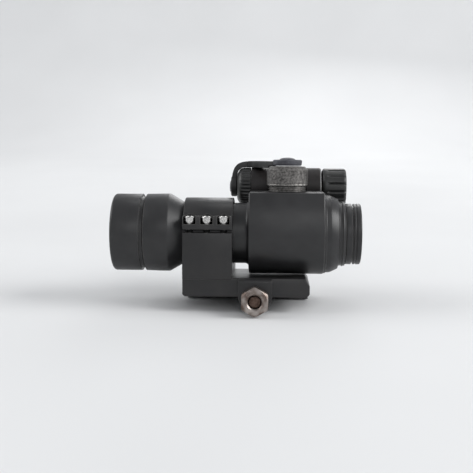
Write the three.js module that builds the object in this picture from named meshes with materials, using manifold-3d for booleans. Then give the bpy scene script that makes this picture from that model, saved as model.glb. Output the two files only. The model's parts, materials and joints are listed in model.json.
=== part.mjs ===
// Tube reflex sight in a clamped cantilever ring mount.
// Millimetres, +Z up. +X points from the objective end to the eyepiece end, and -Y is the side
// with the clamp nut. The origin is on the mount's rail seat, under the elevation turret's axis.
// Stations (x) are counted from the middle of the sight's length, and heights (z) from the
// optical axis. The assembly group then shifts them to the origin on the rail seat.
import * as THREE from 'three';
import { mergeVertices } from 'three/addons/utils/BufferGeometryUtils.js';
import Module from 'manifold-3d';

const wasm = await Module();
wasm.setup();

// ---- driving dimensions ----
const AXIS_HEIGHT = 29.5; // optical axis above the rail seat
const TURRET_X = 24.8; // station of both turrets
const GAP = 0.3; // between pieces that touch or screw together
const FINE = 36; // facets round a large turned piece
const PLAIN = 20; // facets round a middling one
const COARSE = 12; // facets round a small one

const TUBE_R = 15;
const BORE_R = 13.2;
const BELL_R = 19.1;
const BELL_BACK_R = 19.3;
const BELL_FRONT = -45;
const BELL_BACK = -32.8;
const BELL_BORE_R = 17.4;
const HOOD_FRONT = -61;
const HOOD_BORE_R = 17.2;
const LENS_SEAT = -35.5;

const HOUSING_FRONT = 6.2;
const HOUSING_BACK = 43;
const HOUSING_R = 20;
const HOUSING_TOP = 20.8;
const HOUSING_TOP_HALF = 14;
const SIDE_ARC_R = 40;
const EDGE = 0.8; // small chamfers along edges
const BODY_BACK = 53.3;
const CELL_SEAT = 48;
const CELL_BORE_R = 14.1;
const EYEPIECE_R = 15;
const EYEPIECE_BACK = 61;

const RING_FRONT = -25.5;
const RING_BACK = -1.5;
const RING_R = 17.5;
const RING_HALF_WIDTH = 19.3;
const BLOCK_TOP = 1.5; // top of the ring's lower half
const LUG_BOTTOM = 2.9; // underside of the ring cap, which leaves a slot
const LUG_TOP = 5.5; // floor of the screw pockets
const SHOULDER_TOP = 9.4;
const SCREW_X = [-22, -13.8, -5.7];
const SCREW_Y = 17.1;
const SCREW_R = 1.5;
const SCREW_HOLE_R = 1.9;
const SCREW_HEAD_R = 2.6;
const POCKET_R = 3;
const SCREW_HEAD = 3.45; // height of a screw's head
const SCREW_END = -8;

const BASE_FRONT = -25.2;
const BASE_BACK = 36;
const BASE_TOP = -20.3;
const BASE_HALF_WIDTH = 18.6;
const SEAT = -AXIS_HEIGHT;
const JAW_BOTTOM = -34.3;
const RAIL_TOP_HALF = 7.83; // a 21.2 mm rail: half width of its top
const RAIL_HALF = 10.6; // and half its full width

const CLAMP_X = 9.8;
const CLAMP_LENGTH = 16.4;
const CLAMP_TOP = -20.5;
const CLAMP_FACE = -21.6;
const BOLT_Z = -30.3;
const BOLT_R = 3;
const NUT_ACROSS_FLATS = 12.7;
const NUT_INNER = -23.4;
const NUT_OUTER = -29.4;

const SWITCH_AXIS = 22.4; // the battery and switch tube's offset along both Y and Z
const SWITCH_R = 9.8;
const SWITCH_FRONT = 6.5;
const SWITCH_BACK = 42.3;
const END_PLATE_FRONT = 39.3;
const END_PLATE_BACK = 41.6;
const DETENT_RISE = 5.2; // the detent's distance from the knob's axis
const KNOB_FRONT = 42.8;
const KNOB_BACK = 55.2;
const KNOB_R = 9.65;
const KNOB_GROOVES = 14;
const BATTERY_CAP_FRONT = -0.8;
const BATTERY_CAP_R = 9.75;

const FLANGE_R = 9.2; // turret flange
const FLANGE_TOP = 23.4;
const NECK_R = 7.7; // threaded necks that the caps screw onto
const CAP_BOTTOM = 23.7; // turret cap, measured outwards from the optical axis
const CAP_TOP = 33.3;
const CAP_R = 10.2;
const DISC_R = 7.2; // the strap's disc on each turret cap
const DISC_TOP = 36.5;
const STRAP_BOTTOM = 32.65;
const STRAP_THICK = 3;
const STRAP_WIDTH = 5.5;
const STRAP_OUTER_BEND = 8;
const STRAP_INNER_BEND = 3.5;
const STRAP_FACE = BATTERY_CAP_FRONT - GAP - STRAP_THICK;
const STRAP_BEND_X = STRAP_FACE + STRAP_OUTER_BEND; // where the level run ends

const PIVOT_X = -19;
const INNER_TUBE_R = 10.5;

// ---- finishes ----
function finish(color, roughness, metalness) {
  return () => new THREE.MeshStandardMaterial({ color, roughness, metalness });
}
const anodised = finish(0x2a2a2b, 0.55, 0.4);
const wornAnodised = finish(0x63605f, 0.6, 0.4);
const darkPlastic = finish(0x1b1a1b, 0.6, 0);
const rubber = finish(0x1a1b1d, 0.8, 0);
const steel = finish(0xb9b7b2, 0.35, 0.9);
const wornSteel = finish(0x7d716a, 0.5, 0.8);
const darkSteel = finish(0x4a4038, 0.6, 0.7);
const glass = finish(0x88564c, 0.05, 0);
const board = finish(0x2e5b3a, 0.6, 0);
const brass = finish(0xa98a4a, 0.4, 0.8);

// ---- solids ----
// Turns a closed geometry, drawn either way round, into a solid.
function solid(geometry) {
  const bare = geometry.clone();
  bare.deleteAttribute('normal');
  bare.deleteAttribute('uv');
  const merged = mergeVertices(bare, 1e-4);
  const place = merged.attributes.position;
  const index = merged.index.array;
  const corner = [0, 1, 2].map(() => new THREE.Vector3());
  const kept = [];
  let volume = 0;
  for (let i = 0; i < index.length; i += 3) {
    const [a, b, c] = [index[i], index[i + 1], index[i + 2]];
    if (a === b || b === c || c === a) continue;
    [a, b, c].forEach((vertex, k) => corner[k].fromBufferAttribute(place, vertex));
    volume += corner[0].dot(corner[1].cross(corner[2]));
    kept.push([a, b, c]);
  }
  const triangles = kept.map(([a, b, c]) => (volume < 0 ? [a, c, b] : [a, b, c]));
  return new wasm.Manifold(new wasm.Mesh({
    numProp: 3,
    vertProperties: new Float32Array(place.array),
    triVerts: new Uint32Array(triangles.flat()),
  }));
}

function geometryOf(shape) {
  const mesh = shape.getMesh();
  const geometry = new THREE.BufferGeometry();
  geometry.setAttribute('position', new THREE.BufferAttribute(mesh.vertProperties, 3));
  geometry.setIndex(new THREE.BufferAttribute(mesh.triVerts, 1));
  geometry.computeVertexNormals();
  return geometry;
}

function cut(shape, ...tools) {
  return tools.reduce((rest, tool) => rest.subtract(tool), shape);
}

function joined(...shapes) {
  return shapes.reduce((all, shape) => all.add(shape));
}

// Outline points are [station, radius]. A ring's outline closes on itself.
function turned(outline, facets = PLAIN) {
  const points = outline.map(([station, radius]) => new THREE.Vector2(radius, station));
  if (points[0].x > 0 || points[points.length - 1].x > 0) points.push(points[0].clone());
  return new THREE.LatheGeometry(points, facets).rotateX(Math.PI / 2);
}

function turnedOnX(outline, facets) {
  return solid(turned(outline, facets).rotateY(Math.PI / 2));
}

function turnedOnZ(outline, facets) {
  return solid(turned(outline, facets));
}

// A plain rod from one station to another; rods along Y take their [x, z] place.
function rod(radius, from, to, facets = PLAIN) {
  return turned([[from, 0], [from, radius], [to, radius], [to, 0]], facets);
}

function rodOnX(radius, from, to, y, z, facets) {
  return solid(rod(radius, from, to, facets).rotateY(Math.PI / 2).translate(0, y, z));
}

function rodOnY(radius, from, to, x, z, facets) {
  return solid(rod(radius, from, to, facets).rotateX(-Math.PI / 2).translate(x, 0, z));
}

function rodOnZ(radius, from, to, x, y, facets) {
  return solid(rod(radius, from, to, facets).translate(x, y, 0));
}

function tubeOutline(outer, inner, from, to) {
  return [[from, inner], [from, outer], [to, outer], [to, inner]];
}

const X_AXIS = new THREE.Vector3(1, 0, 0);
const Y_AXIS = new THREE.Vector3(0, 1, 0);
const Z_AXIS = new THREE.Vector3(0, 0, 1);
const ONTO_YZ = new THREE.Matrix4().makeBasis(Y_AXIS, Z_AXIS, X_AXIS);
const ONTO_XZ = new THREE.Matrix4().makeBasis(X_AXIS, Z_AXIS, Y_AXIS);

function outlineShape(points) {
  return new THREE.Shape(points.map(([a, b]) => new THREE.Vector2(a, b)));
}

function extruded(shape, depth) {
  return new THREE.ExtrudeGeometry(shape, { depth, bevelEnabled: false, curveSegments: 8 });
}

// A section drawn in Y and Z, run from one station to another.
function sectionRun(shape, from, to) {
  return solid(extruded(shape, to - from).applyMatrix4(ONTO_YZ).translate(from, 0, 0));
}

// A profile drawn in X and Z, run from one side to the other.
function profileRun(shape, from, to) {
  return solid(extruded(shape, to - from).applyMatrix4(ONTO_XZ).translate(0, from, 0));
}

function block(x, y, z) {
  const size = [x, y, z].map(([low, high]) => high - low);
  const middle = [x, y, z].map(([low, high]) => (low + high) / 2);
  return solid(new THREE.BoxGeometry(...size).translate(...middle));
}

function torus(radius, wire) {
  return new THREE.TorusGeometry(radius, wire, 5, PLAIN);
}

// A coil spring along +Z, as a wire swept along its helix.
function coil(radius, wire, length, turns) {
  const steps = turns * 8;
  const points = [];
  for (let i = 0; i <= steps; i += 1) {
    const angle = (i / steps) * turns * 2 * Math.PI;
    const height = wire + (i / steps) * (length - 2 * wire);
    points.push(new THREE.Vector3(radius * Math.cos(angle), radius * Math.sin(angle), height));
  }
  const section = new THREE.Shape();
  section.absarc(0, 0, wire, 0, 2 * Math.PI);
  const extrudePath = new THREE.CatmullRomCurve3(points);
  return new THREE.ExtrudeGeometry(section, { steps, extrudePath, curveSegments: 3 });
}

function addPiece(group, name, shape, material) {
  const piece = new THREE.Mesh(geometryOf(shape), material());
  piece.name = name;
  group.add(piece);
  return piece;
}

// ---- the sight's body ----
function housingSection() {
  // Half round below the axis. The near side leans in above it to the flat top.
  const rise = HOUSING_TOP - EDGE;
  const lean = HOUSING_R - HOUSING_TOP_HALF;
  const shape = new THREE.Shape();
  shape.moveTo(HOUSING_R, HOUSING_TOP);
  shape.lineTo(HOUSING_R, 0);
  shape.absarc(0, 0, HOUSING_R, 0, -Math.PI, true);
  for (let i = 1; i <= 5; i += 1) {
    const height = (rise * i) / 5;
    const inset = SIDE_ARC_R - Math.sqrt(SIDE_ARC_R ** 2 - height ** 2);
    const fullInset = SIDE_ARC_R - Math.sqrt(SIDE_ARC_R ** 2 - rise ** 2);
    shape.lineTo(-HOUSING_R + (inset * lean) / fullInset, height);
  }
  shape.lineTo(-HOUSING_TOP_HALF + EDGE, HOUSING_TOP);
  return shape;
}

function mainBody() {
  const outside = turnedOnX([
    [BELL_FRONT, 0], [BELL_FRONT, BELL_R], [BELL_BACK, BELL_BACK_R], [-26, TUBE_R],
    [4.2, TUBE_R], [5.2, 15.3], [5.9, 16], [HOUSING_FRONT, 17], [HOUSING_FRONT, 19.4],
    [HOUSING_FRONT + 4, 19.6], [43.6, 19.6], [43.7, 19.2], [46, 19.1], [49.8, 17.4],
    [50, 16.2], [51.7, 15.6], [51.8, 16.1], [BODY_BACK, 15.8], [BODY_BACK, 0],
  ], FINE);
  const housing = sectionRun(housingSection(), HOUSING_FRONT, HOUSING_BACK);
  const windageBoss = rodOnY(10, 10, HOUSING_TOP, TURRET_X, 0, FINE);
  const bore = turnedOnX([
    [BELL_FRONT - 1, 0], [BELL_FRONT - 1, BELL_BORE_R], [LENS_SEAT, BELL_BORE_R],
    [LENS_SEAT, 15.6], [-28, BORE_R], [CELL_SEAT, BORE_R], [CELL_SEAT, CELL_BORE_R],
    [BODY_BACK + 1, CELL_BORE_R], [BODY_BACK + 1, 0],
  ], FINE);
  const saddle = rodOnX(
    SWITCH_R + GAP, HOUSING_FRONT - 1, HOUSING_BACK + 1, SWITCH_AXIS, SWITCH_AXIS, FINE,
  );
  return cut(
    joined(outside, housing, windageBoss),
    bore,
    saddle,
    rodOnZ(7, 15.7, HOUSING_TOP + 1, TURRET_X, 0),
    rodOnZ(2.9, 5, 16, TURRET_X, 0, COARSE),
    rodOnY(7, 15.7, HOUSING_TOP + 1, TURRET_X, 0),
    rodOnY(2.9, 5, 16, TURRET_X, 0, COARSE),
  );
}

function frontHood() {
  return turnedOnX([
    [HOOD_FRONT, HOOD_BORE_R], [HOOD_FRONT, 18], [-60.6, 18.7], [-59.8, BELL_R],
    [-46.9, BELL_R], [-46.9, 18.2], [-45.3, 18.2], [-45.3, 17.1], [-42.6, 17.1],
    [-42.6, 15.4], [-47, 15.4], [-47.5, HOOD_BORE_R],
  ], FINE);
}

function objectiveLens() {
  return turnedOnX([
    [-39.9, 0], [-39.7, 6], [-39.2, 12], [-38.6, 17], [LENS_SEAT - GAP, 17],
    [LENS_SEAT - GAP, 0],
  ], FINE);
}

function eyepieceCell() {
  return turnedOnX([
    [48.3, 11.8], [48.3, 13.8], [53.6, 13.8], [53.6, EYEPIECE_R], [56.5, EYEPIECE_R],
    [56.5, 14.2], [57.3, 14.2], [57.3, EYEPIECE_R], [60.2, EYEPIECE_R], [60.8, 14.7],
    [EYEPIECE_BACK, 14.2], [EYEPIECE_BACK, 13.1], [54.5, 13.1], [54.5, 11.8],
  ], FINE);
}

function eyepieceLens() {
  return turnedOnX([
    [54.8, 0], [54.8, 12.8], [56.6, 12.8], [57, 8], [57.2, 0],
  ], FINE);
}

// ---- the aiming dot's tube ----
function innerTubeSpring() {
  // A bowed leaf. Its ends rest near the bore, its middle near the tube.
  const [halfLength, width, leaf] = [10, 5, 0.3];
  const [endRise, middleRise] = [12.6, 11.8];
  const outer = [];
  const inner = [];
  for (let i = 0; i <= 8; i += 1) {
    const along = -1 + i / 4;
    const rise = middleRise + (endRise - middleRise) * along ** 2;
    outer.push([TURRET_X + along * halfLength, rise + leaf]);
    inner.unshift([TURRET_X + along * halfLength, rise]);
  }
  const strip = extruded(outlineShape([...outer, ...inner]), width)
    .applyMatrix4(ONTO_XZ).translate(0, -width / 2, 0);
  return solid(strip.rotateX((3 * Math.PI) / 4));
}

// ---- turrets, drawn with +Z pointing out of the sight ----
function turretBase() {
  return turnedOnZ([
    [15.9, 4.7], [15.9, 6.7], [21.1, 6.7], [21.1, FLANGE_R], [FLANGE_TOP, FLANGE_R],
    [FLANGE_TOP, NECK_R], [28.6, NECK_R], [28.6, 4.7],
  ]);
}

function turretDial() {
  const dial = turnedOnZ([
    [30.5, 0], [30.5, 6.3], [28.9, 6.3], [28.9, 4.4], [17, 4.4], [17, 2.8], [27.5, 2.8],
    [27.5, 0],
  ]);
  const slot = block([-7, 7], [-0.6, 0.6], [29.7, 31]);
  return cut(dial, slot);
}

function turretCap() {
  return turnedOnZ([
    [CAP_TOP, 0], [CAP_TOP, 9], [CAP_TOP - 0.9, CAP_R], [CAP_BOTTOM, CAP_R],
    [CAP_BOTTOM, 9.2], [26.3, 9.2], [26.3, 8.1], [31, 8.1], [31, 0],
  ]);
}

function strapRing() {
  return turnedOnZ([
    [33.6, 2.3], [33.6, DISC_R - 0.4], [34, DISC_R], [DISC_TOP - 0.5, DISC_R],
    [DISC_TOP, DISC_R - 0.5], [DISC_TOP, 2.3],
  ]);
}

function strapButton() {
  return turnedOnZ([
    [33.9, 0], [33.9, 2], [DISC_TOP + 0.1, 2], [DISC_TOP + 0.1, 3.4], [37.1, 3],
    [37.5, 1.6], [37.6, 0],
  ], COARSE);
}

// The level arm runs from the turret's strap disc to the start of the bend. It is thinner
// where it passes over the turret cap.
function strapArm() {
  const half = STRAP_WIDTH / 2;
  const ringEdge = DISC_R + GAP;
  const end = STRAP_BEND_X + GAP;
  const middle = new THREE.CubicBezierCurve(
    new THREE.Vector2(TURRET_X - ringEdge * 0.8, ringEdge * 0.6 + 0.4),
    new THREE.Vector2(TURRET_X - 14, 12),
    new THREE.Vector2(end + 9, SWITCH_AXIS),
    new THREE.Vector2(end, SWITCH_AXIS),
  );
  const near = [];
  const far = [];
  for (const t of [0.02, 0.18, 0.34, 0.5, 0.66, 0.82, 1]) {
    const spot = middle.getPoint(t);
    const along = middle.getTangent(t);
    near.push([spot.x - along.y * half, spot.y + along.x * half]);
    far.unshift([spot.x + along.y * half, spot.y - along.x * half]);
  }
  const plate = extruded(outlineShape([...near, ...far]), STRAP_THICK)
    .translate(0, 0, STRAP_BOTTOM);
  const discRoom = rodOnZ(ringEdge, STRAP_BOTTOM - 1, DISC_TOP, TURRET_X, 0);
  const capRoom = rodOnZ(CAP_R + GAP, STRAP_BOTTOM - 1, CAP_TOP + GAP, TURRET_X, 0);
  return cut(solid(plate), discRoom, capRoom);
}

// ---- battery end ----
// One arm of the battery strap: up the cap's face and round a quarter bend to the level run.
function bentArm() {
  const top = STRAP_BOTTOM + STRAP_THICK;
  const inside = STRAP_FACE + STRAP_THICK;
  const [outer, inner] = [STRAP_OUTER_BEND, STRAP_INNER_BEND];
  const outline = new THREE.Shape();
  outline.absarc(STRAP_BEND_X, top - outer, outer, Math.PI / 2, Math.PI, false);
  outline.lineTo(STRAP_FACE, SWITCH_AXIS);
  outline.lineTo(inside, SWITCH_AXIS);
  outline.absarc(inside + inner, STRAP_BOTTOM - inner, inner, Math.PI, Math.PI / 2, true);
  outline.lineTo(STRAP_BEND_X, STRAP_BOTTOM);
  return extruded(outline, STRAP_WIDTH).applyMatrix4(ONTO_XZ)
    .translate(0, SWITCH_AXIS - STRAP_WIDTH / 2, 0);
}

// Swaps Y and Z, which carries the elevation side onto the windage side.
const SWAPPED = new THREE.Matrix4().makeBasis(X_AXIS, Z_AXIS, Y_AXIS);

function batteryStrap() {
  const eye = rodOnX(
    4.9, STRAP_FACE, STRAP_FACE + STRAP_THICK, SWITCH_AXIS, SWITCH_AXIS, PLAIN,
  );
  const hole = rodOnX(
    2.3, STRAP_FACE - 1, STRAP_FACE + STRAP_THICK + 1, SWITCH_AXIS, SWITCH_AXIS, COARSE,
  );
  return cut(joined(eye, solid(bentArm()), solid(bentArm().applyMatrix4(SWAPPED))), hole);
}

function batteryButton() {
  return turnedOnX([
    [STRAP_FACE - 0.7, 0], [STRAP_FACE - 0.7, 2.6], [STRAP_FACE - 0.3, 3],
    [STRAP_FACE - 0.3, 2], [STRAP_FACE + STRAP_THICK - 0.1, 2],
    [STRAP_FACE + STRAP_THICK - 0.1, 0],
  ], COARSE);
}

function batteryCap() {
  const front = BATTERY_CAP_FRONT;
  return turnedOnX([
    [front, 0], [front, 6.9], [front + 1.2, 8.9], [front + 2.6, BATTERY_CAP_R],
    [6.2, BATTERY_CAP_R], [6.2, 9.2], [4.6, 9.2], [4.6, 8.1], [1, 8.1], [1, 2.2],
    [1.5, 2.2], [1.5, 0],
  ]);
}

function switchHousing() {
  return turnedOnX([
    [3, 6.2], [3, NECK_R], [SWITCH_FRONT, NECK_R], [SWITCH_FRONT, SWITCH_R],
    [34, SWITCH_R], [34.5, SWITCH_R - 0.4], [35, SWITCH_R], [SWITCH_BACK - 0.6, SWITCH_R],
    [SWITCH_BACK, SWITCH_R - 0.5], [SWITCH_BACK, 7.6], [END_PLATE_FRONT - GAP, 7.6],
    [END_PLATE_FRONT - GAP, 7], [28, 7], [28, 0], [17, 0], [17, 6.2],
  ]);
}

function switchEndPlate() {
  const plate = turnedOnX([
    [END_PLATE_FRONT, 2.5], [END_PLATE_FRONT, 7.3], [END_PLATE_BACK, 7.3],
    [END_PLATE_BACK, 2.5],
  ]);
  return cut(plate, rodOnX(1.2, END_PLATE_FRONT + 0.7, END_PLATE_BACK + 1, 0, DETENT_RISE, COARSE));
}

function switchKnob() {
  const knob = turnedOnX([
    [KNOB_FRONT, 2.5], [KNOB_FRONT, 4], [KNOB_FRONT + 0.7, 4], [KNOB_FRONT + 0.7, 6.4],
    [KNOB_FRONT, 6.4], [KNOB_FRONT, 8.9], [KNOB_FRONT + 0.8, KNOB_R],
    [KNOB_BACK - 1.2, KNOB_R], [KNOB_BACK, 8.5], [KNOB_BACK, 3], [KNOB_BACK - 1.7, 3],
    [KNOB_BACK - 1.7, 2.5],
  ]);
  const grooves = [];
  for (let i = 0; i < KNOB_GROOVES; i += 1) {
    const angle = (i * 2 * Math.PI) / KNOB_GROOVES;
    const [y, z] = [Math.cos(angle), Math.sin(angle)].map((part) => part * (KNOB_R + 0.4));
    grooves.push(rodOnX(0.8, KNOB_FRONT + 2.2, KNOB_BACK + 1, y, z, 6));
  }
  return cut(knob, ...grooves);
}

function knobScrew() {
  const screw = turnedOnX([
    [KNOB_BACK - 6.3, 0], [KNOB_BACK - 6.3, 1.1], [KNOB_BACK - 1.4, 1.1],
    [KNOB_BACK - 1.4, 2.7], [KNOB_BACK - 0.3, 2.7], [KNOB_BACK - 0.3, 0],
  ], COARSE);
  return cut(screw, block([KNOB_BACK - 0.8, KNOB_BACK + 1], [-3, 3], [-0.35, 0.35]));
}

function switchShaft() {
  return turnedOnX([
    [31, 0], [31, 2.2], [KNOB_BACK - 1.8, 2.2], [KNOB_BACK - 1.8, 1.4],
    [KNOB_BACK - 6.7, 1.4], [KNOB_BACK - 6.7, 0],
  ], COARSE);
}

// ---- mount ----
function mountBase() {
  const plate = profileRun(outlineShape([
    [BASE_FRONT, SEAT + 1], [BASE_FRONT + 1, SEAT], [BASE_BACK - 1.5, SEAT],
    [BASE_BACK, SEAT + 1.5], [BASE_BACK, -24], [34, BASE_TOP], [BASE_FRONT, BASE_TOP],
  ]), -BASE_HALF_WIDTH, BASE_HALF_WIDTH);
  const ringBlock = block(
    [RING_FRONT, RING_BACK], [-RING_HALF_WIDTH, RING_HALF_WIDTH], [BASE_TOP, BLOCK_TOP],
  );
  const farJaw = sectionRun(outlineShape([
    [RAIL_TOP_HALF + GAP, SEAT + 1], [RAIL_TOP_HALF + GAP, SEAT], [RAIL_HALF + GAP, -32.4],
    [9, JAW_BOTTOM], [BASE_HALF_WIDTH - EDGE, JAW_BOTTOM],
    [BASE_HALF_WIDTH, JAW_BOTTOM + EDGE], [BASE_HALF_WIDTH, SEAT + 1],
  ]), BASE_FRONT, BASE_BACK);
  const screwHoles = SCREW_X.flatMap((x) => [-SCREW_Y, SCREW_Y].map(
    (y) => rodOnZ(SCREW_HOLE_R, SCREW_END - 0.5, BLOCK_TOP + 1, x, y, COARSE),
  ));
  return cut(
    joined(plate, ringBlock, farJaw),
    rodOnX(TUBE_R + GAP, RING_FRONT - 1, RING_BACK + 1, 0, 0, FINE),
    rodOnY(BOLT_R + GAP, -25, -11.7, CLAMP_X, BOLT_Z, COARSE),
    rodOnY(2.5 + GAP, -12, 20, CLAMP_X, BOLT_Z, COARSE),
    rodOnY(3.9, 15.3, 20, CLAMP_X, BOLT_Z, COARSE),
    ...screwHoles,
  );
}

function ringCap() {
  const arch = rodOnX(RING_R, RING_FRONT, RING_BACK, 0, 0, FINE);
  const shoulder = block(
    [RING_FRONT, RING_BACK], [-RING_HALF_WIDTH, RING_HALF_WIDTH], [LUG_BOTTOM, SHOULDER_TOP],
  );
  const below = block([-40, 10], [-30, 30], [-30, LUG_BOTTOM]);
  const pockets = SCREW_X.flatMap((x) => [-1, 1].flatMap((side) => {
    const y = side * SCREW_Y;
    return [
      rodOnZ(POCKET_R, LUG_TOP, RING_R, x, y, COARSE),
      block([x - POCKET_R, x + POCKET_R], side < 0 ? [-25, y] : [y, 25], [LUG_TOP, RING_R]),
      rodOnZ(SCREW_HOLE_R, LUG_BOTTOM - 1, LUG_TOP + 1, x, y, COARSE),
    ];
  }));
  return cut(
    joined(arch, shoulder),
    rodOnX(TUBE_R + GAP, RING_FRONT - 1, RING_BACK + 1, 0, 0, FINE),
    below,
    ...pockets,
  );
}

function ringScrew() {
  const seat = LUG_TOP + GAP;
  const top = seat + SCREW_HEAD;
  return turnedOnZ([
    [SCREW_END, 0], [SCREW_END, SCREW_R], [seat, SCREW_R], [seat, SCREW_HEAD_R],
    [top, SCREW_HEAD_R], [top, 1.5], [top - 1.8, 1.5], [top - 1.8, 0],
  ], COARSE);
}

function clampPlate() {
  const section = sectionRun(outlineShape([
    [CLAMP_FACE, CLAMP_TOP - 1], [CLAMP_FACE + 1, CLAMP_TOP],
    [-BASE_HALF_WIDTH - GAP, CLAMP_TOP], [-BASE_HALF_WIDTH - GAP, SEAT - GAP],
    [-RAIL_TOP_HALF - 0.6, SEAT - GAP], [-RAIL_HALF - 0.3, -32.3], [-9.3, -34],
    [CLAMP_FACE + 1, -34], [CLAMP_FACE, -33],
  ]), CLAMP_X - CLAMP_LENGTH / 2, CLAMP_X + CLAMP_LENGTH / 2);
  return cut(section, rodOnY(BOLT_R + 0.4, -25, -5, CLAMP_X, BOLT_Z, COARSE));
}

function turnedOnBolt(outline, facets) {
  return solid(turned(outline, facets).rotateX(-Math.PI / 2).translate(CLAMP_X, 0, BOLT_Z));
}

function clampBolt() {
  return turnedOnBolt([
    [-28.8, 0], [-28.8, BOLT_R - 0.5], [-28.3, BOLT_R], [-12.4, BOLT_R], [-12.4, 2.5],
    [15.6, 2.5], [15.6, 3.6], [18.4, 3.6], [18.4, 1.6], [16.8, 1.6], [16.8, 0],
  ], COARSE);
}

function clampNut() {
  const corner = NUT_ACROSS_FLATS / 2 / Math.cos(Math.PI / 6);
  const hexagon = [];
  for (let i = 0; i < 6; i += 1) {
    const angle = -Math.PI / 2 + (i * Math.PI) / 3;
    hexagon.push([CLAMP_X + corner * Math.cos(angle), BOLT_Z + corner * Math.sin(angle)]);
  }
  const nut = profileRun(outlineShape(hexagon), NUT_OUTER, NUT_INNER);
  return cut(nut, rodOnY(BOLT_R + GAP, NUT_OUTER - 1, NUT_INNER + 1, CLAMP_X, BOLT_Z, COARSE));
}

// ---- assembly ----
const sight = new THREE.Group();
const optics = new THREE.Group();
optics.position.set(-TURRET_X, 0, AXIS_HEIGHT);
sight.add(optics);

addPiece(optics, 'main_body', mainBody(), anodised);
addPiece(optics, 'front_hood', frontHood(), anodised);
addPiece(optics, 'objective_lens', objectiveLens(), glass);
addPiece(
  optics, 'objective_retaining_ring',
  turnedOnX(tubeOutline(17.1, 15.4, -42.3, -40.2), FINE), anodised,
);
addPiece(optics, 'eyepiece_cell', eyepieceCell(), anodised);
addPiece(optics, 'eyepiece_lens', eyepieceLens(), glass);
addPiece(
  optics, 'eyepiece_retaining_ring',
  turnedOnX(tubeOutline(12.8, 11.8, 57.5, 58.8)), anodised,
);

addPiece(
  optics, 'gimbal_ring',
  turnedOnX(tubeOutline(12.8, 11, PIVOT_X - 1.5, PIVOT_X + 1.5)), darkSteel,
);
addPiece(
  optics, 'inner_tube',
  turnedOnX(tubeOutline(INNER_TUBE_R, 9.2, PIVOT_X - 3, 46)), anodised,
);
addPiece(
  optics, 'emitter_holder', block([38, 43], [-2, 2], [-8.6, -6.2]), darkPlastic,
);
addPiece(
  optics, 'led_emitter', rodOnX(0.9, 35.9, 37.7, 0, -7.3, COARSE), glass,
);
addPiece(optics, 'inner_tube_spring', innerTubeSpring(), steel);

const turrets = { elevation: 0, windage: -Math.PI / 2 };
for (const [side, turn] of Object.entries(turrets)) {
  const turret = new THREE.Group();
  turret.position.set(TURRET_X, 0, 0);
  turret.rotation.x = turn;
  optics.add(turret);
  addPiece(turret, `${side}_turret_base`, turretBase(), anodised);
  addPiece(turret, `${side}_dial`, turretDial(), brass);
  addPiece(turret, `${side}_plunger`, rodOnZ(2.5, 10.8, 26.6, 0, 0, COARSE), steel);
  addPiece(turret, `${side}_o_ring`, solid(torus(8.5, 0.45).translate(0, 0, 25.3)), rubber);
  addPiece(turret, `${side}_cap`, turretCap(), wornAnodised);
  addPiece(turret, `${side}_strap_ring`, strapRing(), rubber);
  addPiece(turret, `${side}_strap_button`, strapButton(), rubber);
}
addPiece(optics, 'elevation_strap_arm', strapArm(), rubber);
addPiece(optics, 'windage_strap_arm', solid(geometryOf(strapArm()).applyMatrix4(SWAPPED)), rubber);
addPiece(optics, 'battery_strap', batteryStrap(), rubber);

const switchTube = new THREE.Group();
switchTube.position.set(0, SWITCH_AXIS, SWITCH_AXIS);
optics.add(switchTube);
addPiece(switchTube, 'switch_housing', switchHousing(), darkPlastic);
addPiece(switchTube, 'battery_cap', batteryCap(), anodised);
addPiece(switchTube, 'battery_strap_button', batteryButton(), rubber);
addPiece(
  switchTube, 'battery_cap_o_ring',
  solid(torus(8.5, 0.45).rotateY(Math.PI / 2).translate(5.4, 0, 0)), rubber,
);
addPiece(switchTube, 'battery', rodOnX(5.8, 1.6, 12.4, 0, 0), steel);
addPiece(
  switchTube, 'battery_spring',
  solid(coil(4, 0.35, 3.7, 3).rotateY(Math.PI / 2).translate(12.8, 0, 0)), steel,
);
addPiece(
  switchTube, 'circuit_board', turnedOnX(tubeOutline(6.6, 2.8, 32.6, 33.6)), board,
);
addPiece(switchTube, 'switch_end_plate', switchEndPlate(), brass);
addPiece(
  switchTube, 'detent_spring',
  solid(coil(0.7, 0.15, 1, 2).rotateY(Math.PI / 2)
    .translate(END_PLATE_FRONT + 0.9, 0, DETENT_RISE)),
  steel,
);
addPiece(
  switchTube, 'detent_ball',
  solid(new THREE.SphereGeometry(0.9, 12, 8).translate(KNOB_FRONT - 0.5, 0, DETENT_RISE)), steel,
);
addPiece(switchTube, 'switch_shaft', switchShaft(), steel);
addPiece(
  switchTube, 'switch_wiper', turnedOnX(tubeOutline(5, 2.5, 34, 34.8), COARSE), brass,
);
addPiece(switchTube, 'switch_knob', switchKnob(), rubber);
addPiece(switchTube, 'knob_screw', knobScrew(), steel);

addPiece(optics, 'mount_base', mountBase(), anodised);
addPiece(optics, 'ring_cap', ringCap(), anodised);
SCREW_X.forEach((x, i) => {
  addPiece(optics, `near_ring_screw_${i + 1}`, ringScrew(), steel).position.set(x, -SCREW_Y, 0);
  addPiece(optics, `far_ring_screw_${i + 1}`, ringScrew(), steel).position.set(x, SCREW_Y, 0);
});
addPiece(optics, 'clamp_plate', clampPlate(), anodised);
addPiece(optics, 'clamp_bolt', clampBolt(), darkSteel);
addPiece(
  optics, 'clamp_washer',
  turnedOnBolt(tubeOutline(6.2, 3.4, NUT_INNER + GAP, CLAMP_FACE - GAP), PLAIN), steel,
);
addPiece(optics, 'clamp_nut', clampNut(), wornSteel);

export default sight;
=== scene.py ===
"""A tube reflex sight in a clamped ring mount, standing on its clamp on a pale surface."""
import json
import math

import bmesh
import bpy
from mathutils import Matrix, Vector


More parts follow.
